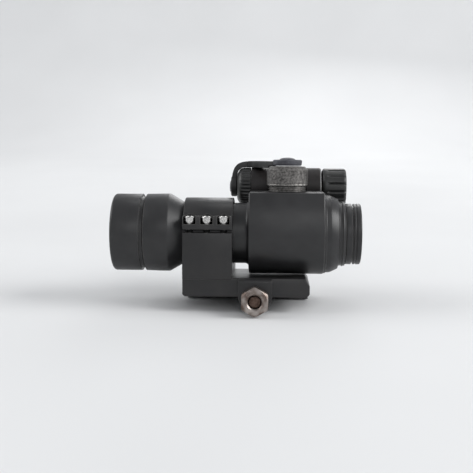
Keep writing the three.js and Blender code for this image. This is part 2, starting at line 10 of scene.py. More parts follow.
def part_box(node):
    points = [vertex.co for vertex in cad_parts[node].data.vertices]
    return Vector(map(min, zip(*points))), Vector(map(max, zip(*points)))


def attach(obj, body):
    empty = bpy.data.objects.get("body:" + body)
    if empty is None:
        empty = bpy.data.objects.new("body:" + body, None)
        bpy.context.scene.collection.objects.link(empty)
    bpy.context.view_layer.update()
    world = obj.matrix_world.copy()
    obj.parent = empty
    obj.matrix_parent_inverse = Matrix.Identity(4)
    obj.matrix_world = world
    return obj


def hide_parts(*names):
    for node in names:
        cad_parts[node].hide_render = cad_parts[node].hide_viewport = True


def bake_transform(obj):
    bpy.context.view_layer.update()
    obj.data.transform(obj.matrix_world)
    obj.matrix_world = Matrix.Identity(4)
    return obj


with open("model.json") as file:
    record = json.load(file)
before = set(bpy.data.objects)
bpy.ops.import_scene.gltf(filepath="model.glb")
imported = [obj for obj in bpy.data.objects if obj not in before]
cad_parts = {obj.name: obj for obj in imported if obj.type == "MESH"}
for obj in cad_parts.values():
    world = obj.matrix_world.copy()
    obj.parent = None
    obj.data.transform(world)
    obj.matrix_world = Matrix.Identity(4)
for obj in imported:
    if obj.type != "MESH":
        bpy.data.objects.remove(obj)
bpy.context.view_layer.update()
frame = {"nodes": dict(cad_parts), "record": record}

# Sizes below are millimetres, and pieces are scaled to metres as they are finished.
MM = 0.001
FULL_TURN = 2 * math.pi


def span(node):
    """A CAD node's lowest and highest corners in millimetres."""
    low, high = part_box(node)
    return low / MM, high / MM


def middle(node):
    """The centre of a CAD node's box in millimetres."""
    low, high = span(node)
    return (low + high) / 2


HOOD_LOW, HOOD_HIGH = span("front_hood")
BODY_LOW, BODY_HIGH = span("main_body")
BASE_LOW, BASE_HIGH = span("mount_base")
AXIS_Z = middle("front_hood").z
TURRET_X = middle("elevation_cap").x
TURRET_AT = Vector((TURRET_X, 0, AXIS_Z))
SWITCH = middle("switch_housing")
BELL_R = (HOOD_HIGH.z - HOOD_LOW.z) / 2
RING_LOW, RING_HIGH = span("ring_cap")
CLAMP_AT = Vector((middle("clamp_nut").x, 0, middle("clamp_nut").z))

# Heights in the mount are measured from the optical axis.
SEAT_Z = -AXIS_Z
BASE_TOP = -20.3
BLOCK_TOP, LUG_BOTTOM, LUG_TOP, SHOULDER_TOP = 1.5, 2.9, 5.5, 9.4
RING_BORE = 15.3
POCKET_R = 3
SCREW_HOLE_R = 1.9

ROUND = 112          # facets round the large turned pieces
SMALL_ROUND = 48     # and round the small ones


# ---- modelling ----
ALONG_Z = Matrix.Identity(4)
ALONG_X = Matrix.Rotation(math.pi / 2, 4, "Y")
ALONG_Y = Matrix.Rotation(-math.pi / 2, 4, "X")
ONTO_YZ = Matrix(((0, 0, 1, 0), (1, 0, 0, 0), (0, 1, 0, 0), (0, 0, 0, 1)))
ONTO_XZ = Matrix(((1, 0, 0, 0), (0, 0, 1, 0), (0, 1, 0, 0), (0, 0, 0, 1)))
ONTO_XY = Matrix.Identity(4)


def outward(bm):
    """Merges doubles and points every face outwards."""
    bmesh.ops.remove_doubles(bm, verts=bm.verts[:], dist=1e-4)
    bmesh.ops.recalc_face_normals(bm, faces=bm.faces[:])
    if bm.calc_volume(signed=True) < 0:
        bmesh.ops.reverse_faces(bm, faces=bm.faces[:])


def bevelled(bm, edges, width, segments):
    """Rounds the given edges."""
    bmesh.ops.bevel(bm, geom=edges, offset=width, offset_type="OFFSET", segments=segments,
                    profile=0.5, affect="EDGES", material=-1, clamp_overlap=True)


def eased(bm, width, segments=2):
    """Bevels every edge that turns by more than the limit."""
    limit = math.radians(30)
    edges = [e for e in bm.edges if len(e.link_faces) == 2 and e.calc_face_angle() > limit]
    if edges and width > 0:
        bevelled(bm, edges, width, segments)


def arc(centre, radius, start, end, steps=6):
    """Points [along, out] on an arc, from one angle to another in degrees."""
    points = []
    for i in range(steps + 1):
        angle = math.radians(start + (end - start) * i / steps)
        points.append((centre[0] + radius * math.cos(angle), centre[1] + radius * math.sin(angle)))
    return points


def turned(outline, facets=ROUND, ease=0.15):
    """A piece of revolution about Z. The outline's points are [along, radius]."""
    bm = bmesh.new()
    points = [bm.verts.new((radius, 0, along)) for along, radius in outline]
    edges = [bm.edges.new(pair) for pair in zip(points, points[1:])]
    if outline[0][1] > 0 or outline[-1][1] > 0:
        edges.append(bm.edges.new((points[-1], points[0])))
    bmesh.ops.spin(bm, geom=points + edges, cent=(0, 0, 0), axis=(0, 0, 1),
                   angle=FULL_TURN, steps=facets, use_merge=True)
    outward(bm)
    eased(bm, ease)
    return bm


def extruded(outline, low, high, onto, ease, segments=3):
    """A closed outline, drawn in the plane that onto gives, run from low to high across it."""
    bm = bmesh.new()
    face = bm.faces.new([bm.verts.new((a, b, low)) for a, b in outline])
    run = bmesh.ops.extrude_face_region(bm, geom=[face])
    moved = [v for v in run["geom"] if isinstance(v, bmesh.types.BMVert)]
    bmesh.ops.translate(bm, vec=(0, 0, high - low), verts=moved)
    bmesh.ops.transform(bm, matrix=onto, verts=bm.verts[:])
    outward(bm)
    eased(bm, ease, segments)
    return bm


def block(x, y, z, ease):
    """A box from its lowest and highest X, Y and Z."""
    bm = bmesh.new()
    bmesh.ops.create_cube(bm, size=1)
    size = Vector((x[1] - x[0], y[1] - y[0], z[1] - z[0]))
    centre = Vector((x[0] + x[1], y[0] + y[1], z[0] + z[1])) / 2
    bmesh.ops.scale(bm, vec=size, verts=bm.verts[:])
    bmesh.ops.translate(bm, vec=centre, verts=bm.verts[:])
    eased(bm, ease, 3)
    return bm


def placed(bm, turn, at):
    """Turns a piece drawn about the origin and moves it to its place."""
    bmesh.ops.transform(bm, matrix=Matrix.Translation(at) @ turn, verts=bm.verts[:])
    return bm


def rod(radius, low, high, turn, at, facets=SMALL_ROUND, ease=0):
    """A plain cylinder, which also cuts the round holes."""
    outline = [(low, 0), (low, radius), (high, radius), (high, 0)]
    return placed(turned(outline, facets, ease), turn, at)


def raw_object(bm, name):
    """A scene object made from a bmesh, which is used up."""
    mesh = bpy.data.meshes.new(name)
    bm.to_mesh(mesh)
    bm.free()
    made = bpy.data.objects.new(name, mesh)
    bpy.context.scene.collection.objects.link(made)
    return made


def combined(name, first, joins=(), cuts=()):
    """Booleans of bmeshes, given back as one bmesh."""
    base = raw_object(first, name)
    helpers = []
    for operation, tools in (("UNION", joins), ("DIFFERENCE", cuts)):
        for tool in tools:
            helper = raw_object(tool, name + "_tool")
            helpers.append(helper)
            step = base.modifiers.new("step", "BOOLEAN")
            step.operation = operation
            step.object = helper
            step.solver = "EXACT"
    graph = bpy.context.evaluated_depsgraph_get()
    result = bmesh.new()
    result.from_object(base, graph)
    for made in [base, *helpers]:
        old = made.data
        bpy.data.objects.remove(made)
        bpy.data.meshes.remove(old)
    bmesh.ops.remove_doubles(result, verts=result.verts[:], dist=1e-4)
    return result


def finished(bm, name, body, nodes, material, sharp=34):
    """Turns a bmesh in millimetres into the finished piece that stands for the CAD nodes."""
    bmesh.ops.dissolve_degenerate(bm, dist=1e-5, edges=bm.edges[:])
    bmesh.ops.scale(bm, vec=(MM, MM, MM), verts=bm.verts[:])
    piece = raw_object(bm, name)
    for polygon in piece.data.polygons:
        polygon.use_smooth = True
    piece.data.set_sharp_from_angle(angle=math.radians(sharp))
    piece.data.materials.append(material)
    if body:
        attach(piece, body)
    if nodes:
        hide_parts(*nodes)
    return piece


# ---- materials ----
def shader(name, roughness, metallic=0.0, specular=0.5):
    """A new material with its node tree and its main shader."""
    material = bpy.data.materials.new(name)
    material.use_nodes = True
    principled = material.node_tree.nodes["Principled BSDF"]
    principled.inputs["Roughness"].default_value = roughness
    principled.inputs["Metallic"].default_value = metallic
    principled.inputs["Specular IOR Level"].default_value = specular
    return material, material.node_tree, principled


def noise(tree, scale, detail=4.0):
    """A cloudy pattern fixed to the piece."""
    coordinates = tree.nodes.new("ShaderNodeTexCoord")
    texture = tree.nodes.new("ShaderNodeTexNoise")
    texture.inputs["Scale"].default_value = scale
    texture.inputs["Detail"].default_value = detail
    tree.links.new(coordinates.outputs["Object"], texture.inputs["Vector"])
    return texture.outputs["Fac"]


def ramp(tree, value, stops):
    """Colours for a value, from stops of (position, colour)."""
    node = tree.nodes.new("ShaderNodeValToRGB")
    tree.links.new(value, node.inputs["Fac"])
    marks = node.color_ramp.elements
    while len(marks) < len(stops):
        marks.new(0.5)
    for mark, (position, colour) in zip(marks, stops):
        mark.position = position
        mark.color = (*colour, 1)
    return node.outputs["Color"]


def mixed(tree, factor, first, second):
    """A mix of two colours, each a plain colour or another node's output."""
    node = tree.nodes.new("ShaderNodeMix")
    node.data_type = "RGBA"
    tree.links.new(factor, node.inputs[0])
    for source, socket in ((first, node.inputs[6]), (second, node.inputs[7])):
        if isinstance(source, tuple):
            socket.default_value = (*source, 1)
        else:
            tree.links.new(source, socket)
    return node.outputs[2]


def math_node(tree, operation, first, second):
    node = tree.nodes.new("ShaderNodeMath")
    node.operation = operation
    for source, socket in ((first, node.inputs[0]), (second, node.inputs[1])):
        if isinstance(source, (int, float)):
            socket.default_value = source
        else:
            tree.links.new(source, socket)
    return node.outputs[0]


def grain(tree, principled, scale, strength, distance):
    """Fine surface relief."""
    bump = tree.nodes.new("ShaderNodeBump")
    bump.inputs["Strength"].default_value = strength
    bump.inputs["Distance"].default_value = distance
    tree.links.new(noise(tree, scale, 3.0), bump.inputs["Height"])
    tree.links.new(bump.outputs["Normal"], principled.inputs["Normal"])


def edge_mask(tree, radius):
    """Near 1 within a radius of a sharp edge, 0 on open faces."""
    bevel = tree.nodes.new("ShaderNodeBevel")
    bevel.samples = 6
    bevel.inputs["Radius"].default_value = radius
    geometry = tree.nodes.new("ShaderNodeNewGeometry")
    dot = tree.nodes.new("ShaderNodeVectorMath")
    dot.operation = "DOT_PRODUCT"
    tree.links.new(bevel.outputs["Normal"], dot.inputs[0])
    tree.links.new(geometry.outputs["Normal"], dot.inputs[1])
    turned_away = math_node(tree, "SUBTRACT", 1.0, dot.outputs["Value"])
    return math_node(tree, "MULTIPLY", turned_away, 9.0)


def anodised(name, dark, light, roughness=0.38, wear_and_edge_highlight=0.8, wear_and_highlight_tone=(0.16, 0.155, 0.15),
             metallic=0.0, clouds=130):
    """Bead-blasted black anodising: cloudy tone, fine grain, and edges lightened partly as rubbed
    wear and partly as a painted highlight.
    """
    material, tree, principled = shader(name, roughness, metallic)
    cloud = ramp(tree, noise(tree, clouds, 5.0), [(0.3, dark), (0.7, light)])
    # lightened edges: partly rubbed wear, partly a painted highlight standing in for light caught
    # on the chamfers
    rub_and_highlight_mask = math_node(tree, "MULTIPLY", edge_mask(tree, 0.00045), noise(tree, 700, 4.0))
    rub_and_highlight_amount = math_node(tree, "MINIMUM", math_node(tree, "MULTIPLY", rub_and_highlight_mask, wear_and_edge_highlight), 1.0)
    tree.links.new(mixed(tree, rub_and_highlight_amount, cloud, wear_and_highlight_tone), principled.inputs["Base Color"])
    smear = ramp(tree, noise(tree, 90, 4.0), [
        (0.3, (roughness - 0.06,) * 3), (0.7, (roughness + 0.08,) * 3)])
    tree.links.new(smear, principled.inputs["Roughness"])
    grain(tree, principled, 9000, 0.25, 0.00002)
    return material


def bare_metal(name, dark, light, roughness, scale=900):
    """Turned steel or brass with a clouded tone."""
    material, tree, principled = shader(name, roughness, 1.0)
    tone = ramp(tree, noise(tree, scale, 5.0), [(0.35, dark), (0.68, light)])
    tree.links.new(tone, principled.inputs["Base Color"])
    smear = ramp(tree, noise(tree, scale * 0.7, 4.0), [
        (0.3, (roughness - 0.08,) * 3), (0.7, (roughness + 0.12,) * 3)])
    tree.links.new(smear, principled.inputs["Roughness"])
    grain(tree, principled, 6000, 0.2, 0.00002)
    return material


def painted_lighting_band(material, axis, start, end, tone):
    """Paints light and shade: gives another tone to the part of a piece where a coordinate passes
    from start to end.
    """
    tree = material.node_tree
    base = tree.nodes["Principled BSDF"].inputs["Base Color"]
    coordinates = tree.nodes.new("ShaderNodeTexCoord")
    parts = tree.nodes.new("ShaderNodeSeparateXYZ")
    tree.links.new(coordinates.outputs["Object"], parts.inputs["Vector"])
    share = tree.nodes.new("ShaderNodeMapRange")
    tree.links.new(parts.outputs[axis], share.inputs["Value"])
    share.inputs["From Min"].default_value = start * MM
    share.inputs["From Max"].default_value = end * MM
    tree.links.new(mixed(tree, share.outputs["Result"], base.links[0].from_socket, tone), base)


def moulded(name, dark, light, roughness, specular=0.4, dust_and_glint_speck=0.0):
    """Moulded rubber or plastic; the optional pale specks are partly dust and partly painted
    glints.
    """
    material, tree, principled = shader(name, roughness, 0.0, specular)
    tone = ramp(tree, noise(tree, 300, 5.0), [(0.3, dark), (0.7, light)])
    if dust_and_glint_speck > 0:
        # pale specks: partly dust, partly painted glints of light on rib tips
        dust_and_glint_specks = ramp(tree, noise(tree, 2600, 6.0), [(0.6, (0, 0, 0)), (0.72, (1, 1, 1))])
        amount = math_node(tree, "MULTIPLY", dust_and_glint_specks, dust_and_glint_speck)
        tone = mixed(tree, amount, tone, (0.3, 0.3, 0.29))
    tree.links.new(tone, principled.inputs["Base Color"])
    grain(tree, principled, 5000, 0.3, 0.00003)
    return material


def coated_glass(name, tint):
    """Lens glass under a coloured coating."""
    material, tree, principled = shader(name, 0.02, 0.0, 0.6)
    film = ramp(tree, noise(tree, 25, 2.0), [(0.3, tint), (0.7, tuple(c * 1.25 for c in tint))])
    tree.links.new(film, principled.inputs["Base Color"])
    principled.inputs["Coat Weight"].default_value = 1.0
    principled.inputs["Coat Roughness"].default_value = 0.03
    principled.inputs["Coat IOR"].default_value = 1.9
    principled.inputs["Transmission Weight"].default_value = 0.35
    return material


body_black = anodised("body_black_anodising", (0.012, 0.012, 0.013), (0.019, 0.019, 0.020))
mount_black = anodised("mount_black_anodising", (0.010, 0.010, 0.011), (0.017, 0.016, 0.016),
                       0.38, 0.9)
bore_black = anodised("bore_matte_black", (0.008, 0.008, 0.008), (0.012, 0.012, 0.012), 0.75, 0)
# the cap's lightened edges are partly wear and partly a painted highlight
cap_grey = anodised("cap_grey_rubbed_and_highlit", (0.055, 0.052, 0.05), (0.24, 0.23, 0.22), 0.36, 0.7,
                    (0.4, 0.39, 0.37), 0.8, 1000)
strap_rubber = moulded("strap_rubber", (0.02, 0.02, 0.021), (0.035, 0.035, 0.036), 0.55)
disc_rubber = moulded("dusty_strap_disc", (0.03, 0.031, 0.04), (0.07, 0.072, 0.086), 0.45, 0.5, 0.3)
# the ribbed plastic's pale specks stand partly for painted glints on the rib tips
ribbed_black = moulded("ribbed_black_plastic", (0.014, 0.014, 0.014), (0.024, 0.025, 0.024), 0.38,
                       0.5, 0.25)
tube_black = moulded("battery_tube_black", (0.010, 0.008, 0.008), (0.018, 0.015, 0.015), 0.5)
TUBE_END = span("switch_housing")[1].x
# painted highlight: a light band round the back end of the battery tube, beside the knob
painted_lighting_band(tube_black, "X", TUBE_END - 0.7, TUBE_END - 0.5, (0.13, 0.13, 0.13))
bright_steel = bare_metal("bright_steel", (0.5, 0.49, 0.47), (0.72, 0.71, 0.69), 0.28)
screw_steel = bare_metal("bright_screw_steel", (0.34, 0.335, 0.33), (0.8, 0.79, 0.77), 0.26, 1600)
# painted shade: the screw shanks below the lug top, down in the slot, are coloured near black
painted_lighting_band(screw_steel, "Z", AXIS_Z + LUG_TOP + 0.2, AXIS_Z + LUG_TOP, (0.01, 0.01, 0.01))
nut_steel = bare_metal("stained_nut_steel", (0.13, 0.095, 0.08), (0.40, 0.36, 0.335), 0.36, 330)
bolt_steel = bare_metal("browned_bolt_steel", (0.07, 0.045, 0.035), (0.16, 0.11, 0.09), 0.55, 700)
brass = bare_metal("turned_brass", (0.52, 0.39, 0.17), (0.68, 0.52, 0.26), 0.3)
objective_glass = coated_glass("objective_coating", (0.30, 0.10, 0.06))
eyepiece_glass = coated_glass("eyepiece_coating", (0.10, 0.13, 0.14))
board_green = moulded("circuit_board_green", (0.02, 0.07, 0.03), (0.03, 0.10, 0.045), 0.5)
emitter_red = moulded("emitter_red", (0.25, 0.01, 0.01), (0.4, 0.02, 0.02), 0.2)

SLOT_MATERIALS = {
    "anodised_body": body_black, "anodised_mount": mount_black, "worn_cap": cap_grey,
    "coated_glass": objective_glass, "clear_glass": eyepiece_glass, "emitter": emitter_red,
    "rubber": strap_rubber, "strap_disc": disc_rubber, "black_plastic": tube_black,
    "ribbed_plastic": ribbed_black, "bright_steel": bright_steel, "worn_steel": nut_steel,
    "dark_steel": bolt_steel, "brass": brass, "circuit_board": board_green,
}
for subpart in frame["record"]["subparts"]:
    mesh = frame["nodes"][subpart["node"]].data
    mesh.materials.clear()
    mesh.materials.append(SLOT_MATERIALS[subpart["material_slot"]])


# ---- sight body ----
def on_axis(x):
    """A point on the optical axis at a distance along X."""
    return Vector((x, 0, AXIS_Z))


def on_switch_axis(x):
    """A point on the axis of the battery tube, its cap and its knob."""
    return Vector((x, SWITCH.y, SWITCH.z))


def lying_round(node):
    """Where a round piece along X starts, its length and its radius."""
    low, high = span(node)
    return low.x, high.x - low.x, (high.z - low.z) / 2


def thread(start, end, radius, depth, pitch):
    """Outline points of a fine thread or of glare grooves."""
    points = []
    count = int(abs(end - start) / pitch)
    step = math.copysign(pitch, end - start)
    for i in range(count):
        points.append((start + i * step, radius))
        points.append((start + (i + 0.5) * step, radius + depth))
    points.append((end, radius))
    return points


def make_front_hood():
    """The hood with its seam groove at the back and glare grooves inside."""
    rim, length = 1.5, HOOD_HIGH.x - HOOD_LOW.x
    outline = [
        (0, 17.3), *arc((rim, BELL_R - rim), rim, 180, 90), (14.1, BELL_R), (14.1, 17.9),
        (15.7, 17.9), (15.7, 17.1), (length, 17.1), (length, 15.5), (14.2, 15.5), (14, 17),
        *thread(13.4, 3.4, 17.2, 0.3, 0.8), (2.6, 17.3),
    ]
    bm = placed(turned(outline, ease=0.12), ALONG_X, on_axis(HOOD_LOW.x))
    finished(bm, "front_hood_shell", "frame", ["front_hood"], body_black)


def housing_outline():
    """Y and height above the axis: half round below, leaning in above to a flat top."""
    radius, top, top_half, lean_r = 20, 20.8, 14, 40
    points = arc((0, 0), radius, 0, -180, 48)
    inset_at_top = lean_r - math.sqrt(lean_r ** 2 - top ** 2)
    for i in range(1, 9):
        height = top * i / 8
        inset = lean_r - math.sqrt(lean_r ** 2 - height ** 2)
        points.append((-radius + inset * (radius - top_half) / inset_at_top, height))
    points.append((radius, top))
    return points


def make_sight_body():
    """Bell, tube and rear shoulder as one turned piece, with the housing and turret boss."""
    front = BODY_LOW.x
    back = BODY_HIGH.x - front
    fillet, fillet_at = 2, 49.2
    revolved = turned([
        (0, 17.4), (0, 18.2), (0.3, 18.2), (0.3, BELL_R), (8, BELL_R + 0.2),
        *arc((11.4, BELL_R - 1.8), 2, 90, 58, 4), (18.9, 15.2), (19.4, 15), (fillet_at, 15),
        *arc((fillet_at, 15 + fillet), fillet, -90, 0, 8), (51.3, 19.2), (60, 19.5), (88.7, 19.6),
        (88.9, 19.2), (90.9, 19.1), (91.3, 18.95), (94.6, 17.4), (94.9, 17.1), (95.1, 15.9),
        (96.7, 15.6), (96.8, 16.1), (97.3, 16.1), (97.6, 15.8), (back, 15.8), (back, 14.1),
        (93, 14.1), (93, 13.2), (17, 13.2), (9.5, 15.6), (9.5, 17.4),
    ], ease=0.14)
    placed(revolved, ALONG_X, on_axis(front))
    section = [(y, z + AXIS_Z) for y, z in housing_outline()]
    housing = extruded(section, front + 51.2, front + 88, ONTO_YZ, ease=0.75, segments=4)
    boss = rod(10, 10, 20.8, ALONG_Y, TURRET_AT, 64, 0.15)
    saddle = rod(10.1, front + 50, front + 90, ALONG_X, on_switch_axis(0), 64)
    inside = rod(13.2, front + 20, front + 95, ALONG_X, on_axis(0), ROUND)
    holes = [rod(7, 5, 25, turn, TURRET_AT) for turn in (ALONG_Z, ALONG_Y)]
    bm = combined("sight_body", revolved, joins=[housing, boss], cuts=[inside, saddle, *holes])
    finished(bm, "sight_body", "frame", ["main_body"], body_black)


def make_eyepiece_cell():
    """The rear cell with its two outside grooves and glare grooves inside."""
    start, length, _ = lying_round("eyepiece_cell")
    outline = [
        (0, 11.8), (0, 13.8), (5.4, 13.8), (5.4, 15), (8.1, 15), (8.25, 14.1), (9, 14.1),
        (9.1, 15), (9.9, 15), (10.1, 14.6), (10.4, 14.6), (10.6, 15),
        *arc((length - 0.8, 14.2), 0.8, 90, 0), (length, 13.3),
        *thread(length - 0.4, 7.4, 13.1, 0.2, 0.5),
        (6.2, 13.1), (6.2, 11.8),
    ]
    bm = placed(turned(outline, ease=0.08), ALONG_X, on_axis(start))
    finished(bm, "eyepiece_cell_shell", "frame", ["eyepiece_cell"], body_black)


def dished(radius, depth):
    """Points on a lens face from its middle to its rim, which lies back by the depth."""
    return [(depth * (i / 12) ** 2, radius * i / 12) for i in range(13)]


def make_objective_lens():
    start, thick, radius = lying_round("objective_lens")
    outline = [*dished(radius, 1.3), (thick, radius), (thick, 0)]
    bm = placed(turned(outline, ease=0.1), ALONG_X, on_axis(start))
    finished(bm, "objective_lens_glass", "frame", ["objective_lens"],
             objective_glass)


def make_eyepiece_lens():
    start, thick, radius = lying_round("eyepiece_lens")
    face = [(thick - back, out) for back, out in reversed(dished(radius, 0.6))]
    bm = placed(turned([(0, 0), (0, radius), *face], ease=0.1), ALONG_X, on_axis(start))
    finished(bm, "eyepiece_lens_glass", "frame", ["eyepiece_lens"], eyepiece_glass)


def make_retaining_ring(node):
    start, length, radius = lying_round(node)
    inner = radius - 1.4
    bm = placed(turned([(0, inner), (0, radius), (length, radius), (length, inner)]), ALONG_X,
                on_axis(start))
    finished(bm, node + "_turned", "frame", [node], bore_black)


# ---- turrets ----
def knurled(bm, low, high, radius, depth, facets, rows):
    """Pushes every other point of a fine grid inwards, which leaves a diamond knurl."""
    for vert in bm.verts:
        reach = math.hypot(vert.co.x, vert.co.y)
        if abs(reach - radius) > 0.01 or not low - 0.01 < vert.co.z < high + 0.01:
            continue
        column = round(math.atan2(vert.co.y, vert.co.x) / FULL_TURN * facets)
        row = round((vert.co.z - low) / (high - low) * rows)
        if (column + row) % 2:
            vert.co.xy *= (reach - depth) / reach


def knurl_rows(low, high, radius, rows):
    """Outline points that give a knurled band its rows."""
    return [(low + (high - low) * i / rows, radius) for i in range(rows + 1)]


def fluted(bm, low, high, count, depth, narrow=2.0):
    """Presses rounded grooves along a turned piece's outside, between two heights."""
    for vert in bm.verts:
        reach = math.hypot(vert.co.x, vert.co.y)
        if reach < 7 or not low < vert.co.z < high:
            continue
        wave = (0.5 + 0.5 * math.cos(count * math.atan2(vert.co.y, vert.co.x))) ** narrow
        vert.co.xy *= (reach - depth * wave) / reach


def make_turret_flange(side, turn):
    """The turret base, which shows as a grooved flange under the cap."""
    flange, flange_top = 9.2, 23.4
    base = turned([
        (15.9, 4.7), (15.9, 6.7), (21.05, 6.7), (21.05, flange), (21.2, flange), (21.5, 8.75),
        (21.75, 8.75), (21.95, flange), (22.35, flange), (22.6, 8.75), (22.8, 8.75),
        (23, flange), (flange_top - 0.1, flange), (flange_top, 7.7), (28.6, 7.7), (28.6, 4.7),
    ], 96, 0.05)
    finished(placed(base, turn, TURRET_AT), side + "_turret_flange", "frame",
             [side + "_turret_base"], cap_grey)


def make_turret_cap(side, turn):
    """The knurled cap, hollow below and bevelled above."""
    facets, rows, radius = 64, 8, 10.2
    low, high = 24.6, 31.4
    cap = turned([
        (31, 0), (31, 8.1), (26.3, 8.1), (26.3, 9.2), (23.7, 9.2), (23.7, 9.7), (23.85, 9.85),
        (24.2, 9.85), (24.3, radius - 0.1), *knurl_rows(low, high, radius, rows),
        (31.7, radius - 0.15), (33.1, 8.8), (33.3, 8.3), (33.3, 7.9), (33.15, 7.7), (33.15, 0),
    ], facets, 0)
    knurled(cap, low, high, radius, 0.4, facets, rows)
    finished(placed(cap, turn, TURRET_AT), side + "_cap_knurled", side + "_cap",
             [side + "_cap"], cap_grey, 20)


def make_cap_strap_disc(side, turn):
    """The strap's round end on the cap and the domed stud that holds it."""
    carrier = side + "_cap_carrier"
    ring = turned([
        (33.6, 2.3), (33.6, 6.6), (33.9, 6.95), (34.3, 7.1), (35.5, 7.18),
        *arc((35.75, 6.45), 0.75, 90, 0, 6), (36.45, 4.6), (36.3, 4.1), (36.1, 4.0), (36.1, 2.3),
    ], 72, 0)
    finished(placed(ring, turn, TURRET_AT), side + "_strap_disc", carrier,
             [side + "_strap_ring"], disc_rubber)
    dome = [(36.6 + math.sin(math.radians(a)), 3.8 * math.cos(math.radians(a)))
            for a in range(10, 90, 16)]
    button = turned([
        (33.9, 0), (33.9, 2), (36.15, 2), (36.2, 3.8), (36.6, 3.9), *dome, (37.6, 0),
    ], SMALL_ROUND, 0)
    finished(placed(button, turn, TURRET_AT), side + "_strap_stud", carrier,
             [side + "_strap_button"], disc_rubber)


# ---- cap strap ----
STRAP_FACE = span("battery_strap")[0].x
ARM_LOW, ARM_HIGH = span("elevation_strap_arm")
STRAP_THICK = 3
STRAP_WIDTH = 5.5
STRAP_TOP = ARM_HIGH.z - AXIS_Z
STRAP_UNDER = STRAP_TOP - STRAP_THICK - 0.4
STRAP_EASE = 0.35
BEND_RUN = 16        # the bend flattens out this far behind the strap's face
EYE_AT = Vector((STRAP_FACE, SWITCH.y, SWITCH.y))
EYE_BORE = 2.3
LIFTED = Matrix.Translation((0, 0, AXIS_Z))
SWAP_Y_Z = ONTO_XZ   # turns a shape on the elevation side into its twin on the windage side


def bezier(a, b, c, d, t):
    return (Vector(a) * (1 - t) ** 3 + Vector(b) * 3 * t * (1 - t) ** 2
            + Vector(c) * 3 * t ** 2 * (1 - t) + Vector(d) * t ** 3)


def strap_bend(steps=40):
    """The strap's outer curve in X and height, from the battery cap's middle to level."""
    top = STRAP_TOP
    return [bezier((STRAP_FACE, top - 19), (STRAP_FACE + 0.1, top), (STRAP_FACE + 1.6, top),
                   (STRAP_FACE + BEND_RUN, top), i / steps) for i in range(steps + 1)]


def strap_droop(x):
    """How far the strap's top has come down from level at a place along X."""
    after = [point for point in strap_bend(160) if point.x >= x]
    return STRAP_TOP - after[0].y if after else 0


def strap_arm():
    """The level arm, drawn about the optical axis on the elevation side."""
    half = STRAP_WIDTH / 2
    end = ARM_LOW.x - 0.05
    start = math.radians(143)
    near = (TURRET_X + 6.2 * math.cos(start), 6.2 * math.sin(start), 0)
    controls = near, (TURRET_X - 14, 12, 0), (end + 9, SWITCH.y, 0), (end, SWITCH.y, 0)
    left, right = [], []
    for i in range(25):
        spot = bezier(*controls, i / 24)
        along = (bezier(*controls, i / 24 + 0.01) - bezier(*controls, i / 24 - 0.01)).normalized()
        across = Vector((-along.y, along.x, 0)) * half
        left.append((spot + across).xy)
        right.insert(0, (spot - across).xy)
    arm = extruded(left + right, STRAP_UNDER, STRAP_TOP, ONTO_XY, STRAP_EASE)
    cap_room = rod(10.45, STRAP_UNDER - 1, 33.55, ALONG_Z, Vector((TURRET_X, 0, 0)), 72)
    bm = combined("strap_arm", arm, cuts=[cap_room])
    for vert in bm.verts:
        share = (vert.co.z - STRAP_UNDER) / (STRAP_TOP - STRAP_UNDER)
        vert.co.z -= strap_droop(vert.co.x) * share
    return bm


def battery_strap_leg():
    """Up the battery cap's face from its eye, and round the bend to the level arm."""
    inner = 4.1
    level, back = ARM_LOW.x - 0.05, STRAP_FACE + STRAP_THICK
    outer = [point for point in strap_bend() if point.x < level and point.y > SWITCH.y]
    outline = [
        (level, STRAP_TOP - strap_droop(level)), *reversed(outer), (STRAP_FACE, SWITCH.y),
        (back, SWITCH.y), *arc((back + inner, STRAP_UNDER - inner), inner, 180, 90, 12),
        (level, STRAP_UNDER),
    ]
    half = STRAP_WIDTH / 2
    return extruded(outline, SWITCH.y - half, SWITCH.y + half, ONTO_XZ, STRAP_EASE)


def make_strap_arms():
    for side, swap in (("elevation", Matrix.Identity(4)), ("windage", SWAP_Y_Z)):
        bm = strap_arm()
        bmesh.ops.transform(bm, matrix=LIFTED @ swap, verts=bm.verts[:])
        outward(bm)
        arm = finished(bm, side + "_arm_strap", None, [side + "_strap_arm"],
                       strap_rubber)
        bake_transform(arm)


def make_battery_strap():
    """The eye on the battery cap's face and a leg to each strap arm, moulded in one."""
    thick, radius, lip, facets = STRAP_THICK, 5.2, 0.9, 56
    eye = placed(turned([
        (0, EYE_BORE), (0, radius - lip), *arc((lip, radius - lip), lip, 180, 90, 5),
        (thick - 0.3, radius), (thick, radius - 0.3), (thick, EYE_BORE),
    ], facets, 0), ALONG_X, EYE_AT)
    legs = []
    for swap in (Matrix.Identity(4), SWAP_Y_Z):
        leg = battery_strap_leg()
        bmesh.ops.transform(leg, matrix=swap, verts=leg.verts[:])
        outward(leg)
        legs.append(leg)
    bore = rod(EYE_BORE, -2, 5, ALONG_X, EYE_AT, facets)
    bm = combined("battery_strap_moulding", eye, joins=legs, cuts=[bore])
    bmesh.ops.transform(bm, matrix=LIFTED, verts=bm.verts[:])
    strap = finished(bm, "battery_strap_moulding", None, ["battery_strap"], strap_rubber)
    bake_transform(strap)


def make_battery_strap_stud():
    start, length, _ = lying_round("battery_strap_button")
    stud = turned([(0, 0), (0.05, 1.4), (0.2, 2.4), (0.4, 2.9), (0.68, 2.9), (0.68, 2),
                   (length, 2), (length, 0)], SMALL_ROUND, 0)
    finished(placed(stud, ALONG_X, on_switch_axis(start)), "battery_strap_stud",
             "battery_cap_carrier", ["battery_strap_button"], disc_rubber)


